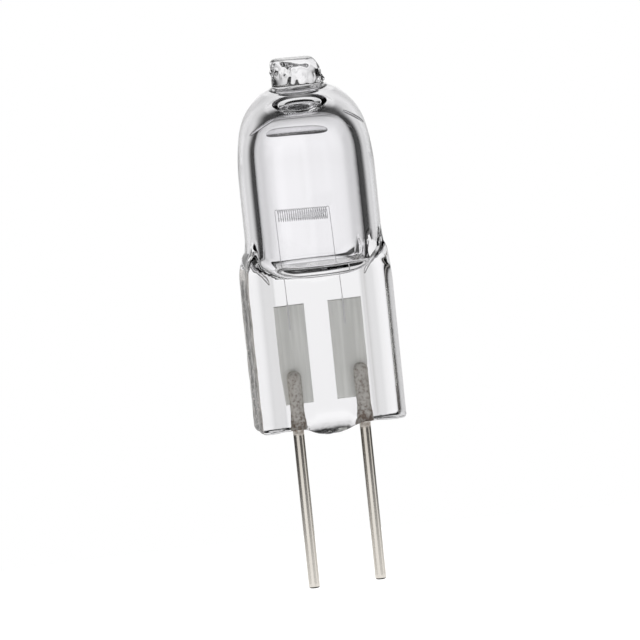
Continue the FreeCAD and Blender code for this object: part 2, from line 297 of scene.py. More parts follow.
class Sheet:
    """A material's or world's node tree, with short calls to fill it."""

    def __init__(self, tree: bpy.types.NodeTree) -> None:
        """Empties the tree."""
        self.tree = tree
        tree.nodes.clear()

    def add(
        self, kind: str, values: dict[object, object] | None = None, **settings: object
    ) -> bpy.types.Node:
        """Adds a node.

        Args:
            kind: The node's type.
            values: Socket name or number to a value, or to another node's output.
            settings: The node's own settings.

        Returns:
            The new node.
        """
        node = self.tree.nodes.new(kind)
        for name, setting in settings.items():
            setattr(node, name, setting)
        for socket, value in (values or {}).items():
            if isinstance(value, Socket):
                self.tree.links.new(value, node.inputs[socket])
            else:
                node.inputs[socket].default_value = value
        return node

    def out(self, kind: str, values: dict[object, object], **settings: object) -> Socket:
        """Adds a node, as add does, and returns its first output."""
        return self.add(kind, values, **settings).outputs[0]

    def math(self, operation: str, *terms: object) -> Socket:
        """Adds a Math node on the given terms and returns its output."""
        return self.out("ShaderNodeMath", dict(enumerate(terms)), operation=operation)

    def remap(
        self, value: object, low: float, high: float, to_low: float = 0.0, to_high: float = 1.0
    ) -> Socket:
        """Adds a smooth Map Range from low..high to to_low..to_high and returns its output."""
        values = {"Value": value, "From Min": low, "From Max": high, "To Min": to_low, "To Max": to_high}
        return self.out("ShaderNodeMapRange", values, interpolation_type="SMOOTHSTEP")

    def mix(self, share: object, first: object, second: object) -> Socket:
        """Adds a colour mix of first and second by share and returns its output."""
        return self.add("ShaderNodeMix", {0: share, 6: first, 7: second}, data_type="RGBA").outputs[2]

    def place(self) -> Socket:
        """Adds the object's own coordinates and returns them."""
        return self.add("ShaderNodeTexCoord").outputs["Object"]

    def noise(self, per_mm: float, along_per_mm: float, detail: float) -> Socket:
        """Adds a noise on the object's own coordinates.

        Args:
            per_mm: Waves in a millimetre of X or Y.
            along_per_mm: Waves in a millimetre of Z.
            detail: How many finer noises are laid over it.

        Returns:
            The noise, from about 0 to 1.
        """
        scale = (per_mm / MM, per_mm / MM, along_per_mm / MM)
        spread = self.out("ShaderNodeMapping", {"Vector": self.place(), "Scale": scale})
        values = {"Vector": spread, "Scale": 1.0, "Detail": detail}
        return self.out("ShaderNodeTexNoise", values)

    def mirrored(self, rays: bpy.types.bpy_prop_collection) -> Socket:
        """Share of rays that come from a mirror or clear glass, with no matt face before it."""
        sharp = self.math("MAXIMUM", rays["Is Glossy Ray"], rays["Is Transmission Ray"])
        return self.math("MULTIPLY", sharp, self.math("LESS_THAN", rays["Diffuse Depth"], 0.5))

    def shade(self, values: dict[object, object]) -> None:
        """Adds the Principled shader with its values and makes it the material's surface."""
        shader = self.out("ShaderNodeBsdfPrincipled", values)
        self.add("ShaderNodeOutputMaterial", {"Surface": shader})


def new_material(name: str) -> tuple[Material, Sheet]:
    """Makes an empty node material and returns it with the sheet of its nodes."""
    material = bpy.data.materials.new(name)
    material.use_nodes = True
    return material, Sheet(material.node_tree)


@dataclass(frozen=True)
class QuartzFinish:
    """Clear fused quartz: faint drawn streaks, a slightly uneven pinch and coarse pressed edges.

    Lengths are in millimetres. A side's depth is taken from the pinch's left face. Its tint is painted
    light: on clear glass, a faint lavender painted reflection of the studio.
    """

    half_width: float
    name: str = "fused_quartz"
    ior: float = 1.458
    roughness: float = 0.0
    # Painted reflection: this faint lavender tint stands in for the studio light seen in the glass, not
    # a colour of the quartz.
    painted_light_tint: Colour = (0.97, 0.966, 0.98, 1.0)
    streaks_per_mm: float = 1.6
    streaks_along: float = 0.12
    streak_depth: float = 0.0004
    pinch_top: float = 8.6
    pinch_fade: float = 1.5
    mottle_per_mm: float = 1.1
    mottle_depth: float = 0.002
    coarse_per_mm: float = 2.6
    coarse_depth: float = 0.07
    side_depths: Pair = (0.2, 0.05)
    foot_heights: Pair = (0.3, 0.05)
    foot_share: float = 0.5

    def build(self) -> Material:
        """Makes the material: full transmission with shallow bumps, coarser on the pinch's edges."""
        material, sheet = new_material(self.name)
        streaks = sheet.noise(self.streaks_per_mm, self.streaks_along, 2.0)
        mottle = sheet.noise(self.mottle_per_mm, self.mottle_per_mm, 1.0)
        coarse = sheet.noise(self.coarse_per_mm, self.coarse_per_mm, 3.0)
        x, _, z = sheet.add("ShaderNodeSeparateXYZ", {"Vector": sheet.place()}).outputs
        pressed = sheet.remap(z, (self.pinch_top + self.pinch_fade) * MM, self.pinch_top * MM)
        side = sheet.remap(x, *((depth - self.half_width) * MM for depth in self.side_depths))
        foot = sheet.remap(z, *(height * MM for height in self.foot_heights))
        edge = sheet.math("MULTIPLY_ADD", foot, self.foot_share, sheet.math("MULTIPLY", side, pressed))
        uneven = sheet.math("MULTIPLY", sheet.math("MULTIPLY", mottle, pressed), self.mottle_depth)
        rough = sheet.math("MULTIPLY", coarse, edge)
        relief = sheet.math("MULTIPLY_ADD", rough, self.coarse_depth, uneven)
        bump = {"Height": streaks, "Strength": 1.0, "Distance": self.streak_depth * MM}
        drawn = sheet.out("ShaderNodeBump", bump)
        bump = {"Height": relief, "Strength": 1.0, "Distance": MM, "Normal": drawn}
        surface = sheet.out("ShaderNodeBump", bump)
        sheet.shade(
            {
                # The tint is painted light: a painted reflection on clear glass, painted shade on the
                # pinch's side faces.
                "Base Color": self.painted_light_tint,
                "Roughness": self.roughness,
                "IOR": self.ior,
                "Transmission Weight": 1.0,
                "Normal": surface,
            }
        )
        return material


@dataclass(frozen=True)
class WireFinish:
    """Drawn tungsten: satin grey, mottled by a fine grain."""

    colour: Colour = (0.58, 0.58, 0.59, 1.0)
    bright: Colour = (0.88, 0.88, 0.89, 1.0)
    metallic: float = 0.5
    roughness: float = 0.3
    grain_per_mm: float = 9.0

    def build(self) -> Material:
        """Makes the material: two greys mixed by the grain."""
        material, sheet = new_material("drawn_tungsten")
        grain = sheet.noise(self.grain_per_mm, self.grain_per_mm, 3.0)
        colour = sheet.mix(grain, self.colour, self.bright)
        sheet.shade({"Base Color": colour, "Metallic": self.metallic, "Roughness": self.roughness})
        return material


@dataclass(frozen=True)
class FoilFinish:
    """Rolled molybdenum foil: light, nearly matt grey with streaks along its length."""

    colour: Colour = (0.76, 0.77, 0.74, 1.0)
    bright: Colour = (0.90, 0.91, 0.88, 1.0)
    metallic: float = 0.05
    roughness: float = 0.42
    streaks_per_mm: float = 3.0
    streaks_along: float = 0.15
    contrast: Pair = (0.35, 0.7)

    def build(self) -> Material:
        """Makes the material: two greys mixed by streaks along Z."""
        material, sheet = new_material("molybdenum_foil")
        share = sheet.remap(sheet.noise(self.streaks_per_mm, self.streaks_along, 3.0), *self.contrast)
        colour = sheet.mix(share, self.colour, self.bright)
        sheet.shade({"Base Color": colour, "Metallic": self.metallic, "Roughness": self.roughness})
        return material


@dataclass(frozen=True)
class PinFinish:
    """Bright, slightly warm drawn wire with a granular grey-brown oxide crust where the glass holds it.

    Heights are in millimetres from the pinch's lower end. The crust is brown at its lower end and
    greyer above, and the bare wire takes a little heat colour towards the glass.
    """

    bright: Colour = (0.86, 0.82, 0.76, 1.0)
    dull: Colour = (0.74, 0.70, 0.64, 1.0)
    brown: Colour = (0.2, 0.155, 0.125, 1.0)
    grey: Colour = (0.58, 0.565, 0.53, 1.0)
    heat: Colour = (0.34, 0.29, 0.24, 1.0)
    heat_share: float = 0.35
    heat_heights: Pair = (-4.5, -0.2)
    roughness: float = 0.16
    crust_roughness: float = 0.6
    scratches_per_mm: float = 6.0
    scratches_along: float = 0.5
    grains_per_mm: float = 5.5
    crust_heights: Pair = (-0.35, 0.1)
    ragged: float = 0.3
    grey_heights: Pair = (0.1, 1.3)
    grey_gain: float = 0.16
    contrast: Pair = (0.36, 0.74)

    def build(self) -> Material:
        """Makes the material: metal with scratches along Z below, mottled oxide above."""
        material, sheet = new_material("nickel_wire")
        scratches = sheet.noise(self.scratches_per_mm, self.scratches_along, 3.0)
        grains = sheet.noise(self.grains_per_mm, self.grains_per_mm, 3.0)
        height = sheet.add("ShaderNodeSeparateXYZ", {"Vector": sheet.place()}).outputs[2]
        ragged = sheet.math("MULTIPLY_ADD", scratches, self.ragged * MM, height)
        crust = sheet.remap(ragged, *(z * MM for z in self.crust_heights))
        higher = sheet.remap(height, *(z * MM for z in self.grey_heights))
        greyer = sheet.math("MULTIPLY_ADD", higher, self.grey_gain, grains)
        oxide = sheet.mix(sheet.remap(greyer, *self.contrast), self.brown, self.grey)
        heated = sheet.remap(height, *(z * MM for z in self.heat_heights), 0.0, self.heat_share)
        clean = sheet.mix(heated, sheet.mix(scratches, self.dull, self.bright), self.heat)
        rougher = self.crust_roughness - self.roughness
        sheet.shade(
            {
                "Base Color": sheet.mix(crust, clean, oxide),
                "Metallic": sheet.math("SUBTRACT", 1.0, crust),
                "Roughness": sheet.math("MULTIPLY_ADD", crust, rougher, self.roughness),
            }
        )
        return material


@dataclass(frozen=True)
class Layout:
    """How the capsule's outer grid is laid: its counts of rows and columns, and their spacing.

    The last four are for moving it onto the field: rounds, the half span of a slope, the longest move
    along an axis in a round and the smallest squared slope that is divided by.
    """

    web: int = 52
    ease: int = 10
    side: int = 10
    web_turn_deg: float = 66.0
    cap: int = 16
    cap_power: float = 0.8
    cap_taper: float = 0.2
    wall: int = 60
    wall_power: float = 1.3
    wall_stop: float = 0.9
    shelf: int = 14
    shelf_hub: float = 0.3
    base: int = 46
    rounds: int = 10
    step: float = 1e-3
    longest_move: float = 0.2
    least_slope: float = 0.05


@dataclass
class Capsule:
    """The quartz capsule: a pressed pinch below, a bulb with a dome and a melted-off tip above.

    All sizes are in millimetres. Waves are given in radians for a millimetre.
    """

    half_width: float
    radius: float
    tip_top: float
    pin_reach: float
    layout: Layout = Layout()
    pinch_height: float = 9.0
    web_half: float = 1.0
    rib_half: float = 1.45
    rib_inner: float = 2.5
    rib_outer: float = 3.75
    rib_ease: float = 0.12
    rib_lean: float = 9.0
    rib_top: float = 10.6
    overrun: float = 6.0
    corner: float = 0.3
    lip_half: float = 1.5
    lip_drop: float = 0.64
    lip_ease: float = 1.4
    lip_blend: float = 0.3
    lean_ease: float = 0.2
    top_ease: float = 0.5
    edge_ease: float = 0.18
    side_lump: float = 0.03
    side_depths: Pair = (0.3, 0.05)
    side_fade: float = 0.6
    foot_lump: float = 0.015
    foot_heights: Pair = (0.35, 0.05)
    base_low: float = 9.1
    base_half: float = 2.3
    base_high: float = 10.25
    base_round: float = 0.5
    base_blend: float = 0.3
    join: float = 11.0
    dome_start: float = 14.6
    waist: Pair = (3.75, 17.3)
    crown: Pair = (2.28, 19.68)
    root: Pair = (1.68, 19.97)
    neck: Pair = (1.58, 20.16)
    tip_ease: float = 0.34
    tip_wave: float = 0.02
    flat_ease: float = 0.09
    dents: int = 60
    dent_width: float = 0.26
    dent_depth: float = 0.15
    dent_out: float = 1.45
    dent_span: Pair = (1.35, 1.3)
    dent_start: float = 0.15
    tip_core: float = 0.8
    shift: float = 0.07
    pinch_shift: float = -0.05
    shift_span: float = 2.0
    wall: float = 1.0
    floor: float = 9.6
    floor_corner: Pair = (0.3, 0.2)
    hollow_start: float = 15.1
    roof: float = 18.75
    roof_power: float = 2.9
    bore: float = 0.405
    mouth: float = 0.5
    mouth_depth: float = 0.9
    bore_end: float = 2.8
    membrane: float = 0.03
    fold_foot: Triple = (3.0, 0.3, 8.6)
    fold_head: Triple = (3.82, -0.1, 10.2)
    fold_size: Pair = (0.13, 0.19)
    streak_foot: Triple = (3.3, -1.3, 17.5)
    streak_head: Triple = (1.95, -2.35, 18.4)
    streak_size: Pair = (0.11, 0.05)
    bead_size: Pair = (1.5, 0.35)
    bead_height: float = 19.4
    line_radius: float = 3.12
    line_half: float = 2.4
    line_height: float = 17.62
    line_lean_deg: float = -48.0
    line_size: Pair = (0.5, 0.07)
    line_tilt_deg: float = 2.6

    @property
    def lip_radius(self) -> float:
        """Radius of the hanging bead's arc, from its half width and its drop."""
        return (self.lip_half**2 + self.lip_drop**2) / (2.0 * self.lip_drop)

    def half_depth(self, x: Array) -> Array:
        """Half of the pinch's thickness: the web's, with a smooth step up to the rib at each edge."""
        share = smooth_ramp(np.abs(x), self.rib_inner, self.rib_outer)
        return self.web_half + (self.rib_half - self.web_half) * share

    def section_field(self, x: Array, y: Array) -> Array:
        """Distance to the pinch's level section: a web that swells to a rounded rib at each edge."""
        return smooth_max(np.abs(y) - self.half_depth(x), np.abs(x) - self.half_width, self.rib_ease)

    def lowest(self, x: Array) -> Array:
        """Height of the pinch's lower edge: level, with round corners and a bead in the middle."""
        past = np.clip(np.abs(x) - (self.half_width - self.corner), 0.0, self.corner)
        corner = self.corner - np.sqrt(self.corner**2 - past**2)
        inside = np.clip(np.abs(x), 0.0, self.lip_half)
        lip = self.lip_radius - self.lip_drop - np.sqrt(self.lip_radius**2 - inside**2)
        return corner + np.minimum(lip, 0.0)

    def front_field(self, x: Array, z: Array) -> Array:
        """Distance to the pinch's outline from the front, with ribs that lean in to the bulb."""
        middle = (self.rib_top + self.overrun) / 2
        block = rounded_box(x, z - middle, (self.half_width, middle), self.corner)
        lip = np.hypot(x, z - (self.lip_radius - self.lip_drop)) - self.lip_radius
        block = smooth_min(block, lip, self.lip_blend)
        lean = math.atan2(self.half_width - self.radius, self.rib_top - self.rib_lean)
        slope = (np.abs(x) - self.half_width) * math.cos(lean) + (z - self.rib_lean) * math.sin(lean)
        return smooth_max(smooth_max(block, slope, self.lean_ease), z - self.rib_top, self.top_ease)

    def facet(self, z: Array) -> Array:
        """Half of the bulb's width at a height, where a sloping flat cuts each side of its base."""
        gain = (self.radius - self.base_half) / (self.base_high - self.base_low)
        return self.base_half + (z - self.base_low) * gain

    def field(self, points: Array) -> Array:
        """Distance to the glass below the join: the pinch blended with the bulb's base."""
        x, y, z = np.moveaxis(points, -1, 0)
        ease = self.edge_ease + self.lip_ease * np.clip(1.0 - (x / self.lip_half) ** 2, 0.0, 1.0)
        pinch = smooth_max(self.section_field(x, y), self.front_field(x, z), ease)
        lean = math.atan2(self.radius - self.base_half, self.base_high - self.base_low)
        flat = (np.abs(x) - self.facet(z)) * math.cos(lean)
        bulb = smooth_max(np.hypot(x, y) - self.radius, flat, self.base_round)
        bulb = smooth_max(bulb, self.base_low - z, self.base_round)
        return smooth_min(pinch, bulb, self.base_blend)

    def settle(self, points: Array) -> Array:
        """Moves points onto the field's zero surface: p - f grad f / |grad f|^2, some times over.

        Args:
            points: Grid of points near the surface.

        Returns:
            The grid on the surface.
        """
        lay, shifts = self.layout, np.eye(3) * self.layout.step
        for _ in range(lay.rounds):
            rise = np.stack(
                [self.field(points + d) - self.field(points - d) for d in shifts], axis=-1
            )
            slope = rise / (2.0 * lay.step)
            size = np.maximum((slope**2).sum(-1, keepdims=True), lay.least_slope)
            move = self.field(points)[..., None] * slope / size
            points = points - np.clip(move, -lay.longest_move, lay.longest_move)
        return points

    def columns(self) -> tuple[Array, Array]:
        """The columns of the outer grid, shared by the pinch's section and the bulb's circle.

        A quarter of the section runs from the middle of the web to the middle of a rib's side, and
        its mirror images complete the round.

        Returns:
            The section's points, and for each the angle on the bulb's circle in radians.
        """
        ease, half, rib, lay = self.rib_ease, self.half_width, self.rib_half, self.layout
        spread = np.linspace(0.0, math.atan2(half - ease, self.web_half), lay.web, endpoint=False)
        front = self.web_half * np.tan(spread)
        quarter = joined(
            np.column_stack((front, -self.half_depth(front))),
            arc((half - ease, ease - rib), ease, -90.0, 0.0, lay.ease),
            run((half, ease - rib), (half, 0.0), lay.side),
            [(half, 0.0)],
        )
        steps = len(quarter) - 1
        web_end = math.radians(lay.web_turn_deg)
        beyond = np.linspace(web_end, np.pi / 2, steps + 2 - len(spread))[1:]
        turn = np.concatenate((spread * web_end / spread[-1], beyond))
        up, down = slice(0, steps), slice(steps, 0, -1)
        mirrors = ((up, 1, 1), (down, 1, -1), (up, -1, -1), (down, -1, 1))
        points = np.concatenate([quarter[part] * (across, along) for part, across, along in mirrors])
        angle = np.concatenate((turn[up], np.pi - turn[down], np.pi + turn[up], 2 * np.pi - turn[down]))
        return points, angle - np.pi / 2

    def lower_grid(self, section: Array, angle: Array) -> Array:
        """First rows of the outer grid: the pinch's lower end, its walls and the bulb's base.

        Each column goes up the pinch's wall until the bulb's base, a level shelf and the walls above
        it, reaches further out than the section there, and then follows the base out to the bulb's
        wall. The field rounds the corners.

        Args:
            section: Points of the pinch's section.
            angle: Angles on the bulb's circle.

        Returns:
            Grid of rows by columns by 3 that ends at the join.
        """
        (x, y), lay = section.T, self.layout
        inset = (1.0 - np.linspace(0.0, 1.0, lay.cap, endpoint=False) ** lay.cap_power)[:, None]
        cap_x, cap_y = x * (1.0 - lay.cap_taper * inset), y * (1.0 - inset)
        cap = np.stack((cap_x, cap_y, self.lowest(cap_x)), axis=-1)

        start = self.pinch_height - lay.wall_stop
        low = self.lowest(x)
        climb = (np.linspace(0.0, 1.0, lay.wall, endpoint=False) ** lay.wall_power)[:, None]
        wall_z = low + climb * (start - low)
        wall = np.stack((x + 0 * wall_z, y + 0 * wall_z, wall_z), axis=-1)

        shelf = np.linspace(0.0, 1.0, lay.shelf, endpoint=False)[:, None]
        walls = np.linspace(self.base_low, self.join, lay.base)[:, None]
        rise = np.concatenate((np.full_like(shelf, self.base_low), walls))
        limit = self.facet(rise)
        reach = np.minimum(self.radius, limit / np.maximum(np.abs(np.cos(angle)), 1e-6))
        reach[: lay.shelf] = lay.shelf_hub + shelf * (reach[: lay.shelf] - lay.shelf_hub)
        on_base = np.stack((reach * np.cos(angle), reach * np.sin(angle), rise + 0 * reach), axis=-1)

        overhang = self.half_width - self.radius
        lean_x = np.maximum(np.abs(x) - ramp(rise, self.rib_lean, self.rib_top) * overhang, 0.0)
        beyond = np.maximum(np.hypot(lean_x, y) - self.radius, lean_x - limit)
        beyond[: lay.shelf] = np.hypot(x, y) - reach[: lay.shelf]
        outside = np.cumprod(beyond >= 0.0, axis=0).astype(bool)
        rows_out = outside.sum(axis=0)
        number = np.arange(len(rise))[:, None]
        top = np.minimum(rise[np.minimum(rows_out, len(rise) - 1), 0], self.rib_top)
        share = np.minimum((number + 1.0) / np.maximum(rows_out, 1), 1.0)
        pinch_z = start + share * (top - start)
        pinch_x = np.sign(x) * (np.abs(x) - ramp(pinch_z, self.rib_lean, self.rib_top) * overhang)
        on_pinch = np.stack((pinch_x, y + 0 * pinch_z, pinch_z), axis=-1)
        skirt = np.where(outside[..., None], on_pinch, on_base)
        return self.coarsen(self.settle(np.concatenate((cap, wall, skirt))))

    def coarsen(self, grid: Array) -> Array:
        """Roughens the pinch's left face with drawn-out lumps and its lower end with low dents."""
        x, y, z = np.moveaxis(grid, -1, 0)
        inner, outer = (self.half_width - depth for depth in self.side_depths)
        side = ramp(-x, inner, outer) * ramp(z, self.rib_lean + self.side_fade, self.rib_lean)
        lumps = 0.7 + 0.3 * np.sin(5.3 * z + 2.0 * np.sin(1.7 * z))
        lumps = lumps * np.cos(5.1 * y + 0.8 * np.sin(2.1 * z))
        dents = 1.0 + np.sin(5.2 * x + 1.4 * np.sin(2.7 * x)) * np.cos(3.7 * y + x)
        lift = self.foot_lump * ramp(z, *self.foot_heights) * dents
        return np.stack((x + self.side_lump * side * lumps, y, z + lift), axis=-1)

    def upper_profile(self) -> Array:
        """Radius and height from the join, up the wall and over the dome to the middle of the tip."""
        dome, heading = tangent_arc((self.radius, self.dome_start), 90.0, self.waist, 14)
        shoulder, heading = tangent_arc(self.waist, heading, self.crown, 30)
        root, _ = tangent_arc(self.root, heading, self.neck, 10)
        tip, ease = self.neck[0], self.tip_ease
        return joined(
            run((self.radius, self.join), (self.radius, self.dome_start), 14)[1:],
            dome,
            shoulder,
            run(self.crown, self.root, 6),
            root,
            run(self.neck, (tip, self.tip_top - ease), 30),
            arc((tip - ease, self.tip_top - ease), ease, 0.0, 90.0, 8),
            run((tip - ease, self.tip_top), (0.0, self.tip_top), 24),
            [(0.0, self.tip_top)],
        )

    def melt_tip(self, grid: Array) -> Array:
        """Gives the tip its melted, cut-off form: waves round it, soft flats cut by planes, and lumps.

        A point past a plane goes back to it: p - n * soft(n . p - d), with
        soft(a) = w log(1 + e^(a / w)).

        Args:
            grid: The upper rows of the outer grid.

        Returns:
            The same rows with the tip's form.
        """
        x, y, z = np.moveaxis(grid, -1, 0)
        rise = ramp(z, self.root[1], self.tip_top)
        turn = np.arctan2(y, x)
        waves = np.sin(3 * turn + 0.8 + 2.0 * z) + np.sin(7 * turn - 3.9 * z)
        swell = 1.0 + self.tip_wave * rise * waves
        grid = np.stack((x * swell, y * swell, z), axis=-1)
        for normal, past in self.flats():
            over = (grid @ normal - past) / self.flat_ease
            back = self.flat_ease * np.logaddexp(0.0, over) * (rise > 0.0)
            grid = grid - back[..., None] * normal
        return self.dent(grid, rise)

    def dent(self, grid: Array, rise: Array) -> Array:
        """Puts small lumps and hollows round the tip, spread by the golden angle.

        Each moves points along the line from the tip's middle through its own centre, by
        depth * e^(-(distance / width)^2), outwards and inwards by turns.

        Args:
            grid: The upper rows of the outer grid.
            rise: Share of the tip's height at each point, 0 at its root.

        Returns:
            The rows with the lumps.
        """
        middle = np.array((0.0, 0.0, self.tip_top - self.tip_core))
        below, span = self.dent_span
        for number in range(self.dents):
            turn, share = GOLDEN_TURN * number, (number * GOLDEN_SHARE) % 1.0
            height = self.tip_top - below + span * share
            centre = np.array((self.dent_out * math.cos(turn), self.dent_out * math.sin(turn), height))
            near = ((grid - centre) ** 2).sum(-1) / self.dent_width**2
            depth = self.dent_depth * (-1) ** number * np.exp(-near)
            depth = depth * np.minimum(rise / self.dent_start, 1.0)
            way = (centre - middle) / np.linalg.norm(centre - middle)
            grid = grid + depth[..., None] * way
        return grid

    def flats(self) -> list[tuple[Array, float]]:
        """Planes that cut the tip, each as a unit normal and its distance from the origin.

        Each is given by a turn from +X and a rise in degrees, its distance out from the axis, and the
        height, below the tip's top, at which it has that distance.
        """
        cuts = (
            (0.0, 38.0, 0.98, 0.0),
            (6.0, 6.0, 1.36, 0.7),
            (48.0, -4.0, 1.42, 0.8),
            (95.0, 8.0, 1.40, 0.7),
            (70.0, 48.0, 1.05, 0.1),
            (138.0, -6.0, 1.46, 0.9),
            (180.0, 2.0, 1.56, 0.8),
            (222.0, 6.0, 1.44, 0.8),
            (330.0, 30.0, 1.22, 0.25),
            (205.0, 40.0, 1.36, 0.1),
        )
        planes = []
        for turn, rise, out, down in cuts:
            a, e = math.radians(turn), math.radians(rise)
            normal = np.array((math.cos(a) * math.cos(e), math.sin(a) * math.cos(e), math.sin(e)))
            planes.append((normal, out * math.cos(e) + (self.tip_top - down) * math.sin(e)))
        return planes

    def hollow(self) -> Array:
        """The bulb's hollow: a turned profile with a flat floor and a domed roof.

        The floor's corner is a quarter of an ellipse. The roof is (r / R)^p + (h / H)^p = 1.
        """
        radius, (wide, low) = self.radius - self.wall, self.floor_corner
        turn = np.radians(np.linspace(0.0, 90.0, 48, endpoint=False))
        round_in = turn[::3]
        corner_r = radius - wide + wide * np.sin(round_in)
        corner_z = self.floor + low * (1.0 - np.cos(round_in))
        high, power = self.roof - self.hollow_start, 2.0 / self.roof_power
        roof_r, roof_z = radius * np.cos(turn) ** power, self.hollow_start + high * np.sin(turn) ** power
        profile = joined(
            run((0.0, self.floor), (radius - wide, self.floor), 14),
            np.column_stack((corner_r, corner_z)),
            run((radius, self.floor + low), (radius, self.hollow_start), 12),
            np.column_stack((roof_r, roof_z)),
            [(0.0, self.roof)],
        )
        return revolve(profile, even_turns(144))

    def channel(self, x: float) -> Array:
        """The narrow hollow round a pin: a turned profile, flared at its mouth, moved out to the pin."""
        ease, low = self.bore / 2, self.membrane
        profile = joined(
            run((0.0, low), (self.mouth, low), 4),
            run((self.mouth, low), (self.bore, self.mouth_depth), 10),
            run((self.bore, self.mouth_depth), (self.bore, self.bore_end - ease), 8),
            arc((self.bore - ease, self.bore_end - ease), ease, 0.0, 90.0, 8),
            run((self.bore - ease, self.bore_end), (0.0, self.bore_end), 4),
            [(0.0, self.bore_end)],
        )
        return revolve(profile, even_turns(48)) + (x, 0.0, 0.0)

    @staticmethod
    def sliver(axis: Array, across: Array, wide: float, thin: float) -> Array:
        """A slim void in the glass: an oval section carried along an axis, drawn in at each end.

        Args:
            axis: Points along it, count by 3.
            across: Direction of the section's width at each point, square to the axis.
            wide: Half of the section's width.
            thin: Half of its thickness.

        Returns:
            Grid of rows by columns by 3.
        """
        along = np.gradient(axis, axis=0)
        over = np.cross(along / np.linalg.norm(along, axis=1, keepdims=True), across)
        share = np.linspace(-1.0, 1.0, len(axis))
        size = np.sqrt(1.0 - share**4)[:, None, None]
        turn = even_turns(20)[None, :, None]
        ring = wide * np.cos(turn) * across[:, None, :] + thin * np.sin(turn) * over[:, None, :]
        return axis[:, None, :] + size * ring

    def voids(self) -> list[Array]:
        """Sealed voids: a fold at each side of the base, a streak on each shoulder, a line and a bead.

        The line lies in the dome's back, and the bead under the tip is an ellipse turned about the axis.
        """
        share = np.linspace(0.0, 1.0, 48)[:, None]
        grids = []
        pairs = (
            (self.fold_foot, self.fold_head, self.fold_size),
            (self.streak_foot, self.streak_head, self.streak_size),
        )
        for side, (low, high, size) in ((s, pair) for pair in pairs for s in (-1.0, 1.0)):
            foot, head = (np.array((side * x, y, z)) for x, y, z in (low, high))
            across = np.cross(head - foot, (0.0, 1.0, 0.0))
            across = np.tile(across / np.linalg.norm(across), (len(share), 1))
            grids.append(self.sliver(foot + share * (head - foot), across, *size))
        turn = (share - 0.5) * 2.0 * self.line_half / self.line_radius
        spoke = np.concatenate((np.sin(turn), np.cos(turn), 0 * turn), axis=1)
        lean = math.radians(self.line_lean_deg)
        across = spoke * math.sin(lean) + (0.0, 0.0, math.cos(lean))
        line = spoke * self.line_radius + (0.0, 0.0, self.line_height)
        line[:, 2] -= line[:, 0] * math.tan(math.radians(self.line_tilt_deg))
        grids.append(self.sliver(line, across, *self.line_size))
        around = np.radians(np.linspace(-90.0, 90.0, 17))
        ellipse = np.column_stack((np.cos(around), np.sin(around))) * self.bead_size
        grids.append(revolve(ellipse + (0.0, self.bead_height), even_turns(36)))
        return grids

    def aside(self, grid: Array) -> Array:
        """Moves the pinch a little to the left and the bulb to the right, with a smooth step between."""
        share = smooth_ramp(grid[..., 2], self.base_low, self.base_low + self.shift_span)
        moved = grid.copy()
        moved[..., 0] += self.pinch_shift + (self.shift - self.pinch_shift) * share
        return moved

    def build(self, finish: QuartzFinish, edge: QuartzFinish) -> Piece:
        """Makes the capsule as one piece of glass, with its hollow, its voids and its pin channels."""
        section, angle = self.columns()
        upper = self.melt_tip(revolve(self.upper_profile(), angle))
        outside = np.concatenate((self.lower_grid(section, angle), upper))
        shells = [Shell(self.aside(outside))]
        shells += [Shell(self.aside(void), inward=True) for void in (self.hollow(), *self.voids())]
        shells += [Shell(self.channel(side * self.pin_reach), inward=True) for side in (-1, 1)]
        piece = Piece("quartz_capsule", shells, finish.build())
        # The side faces take the darker glass, whose brown-grey tint is painted shade.
        piece.dress_sides(self.half_width, edge.build())
        return piece


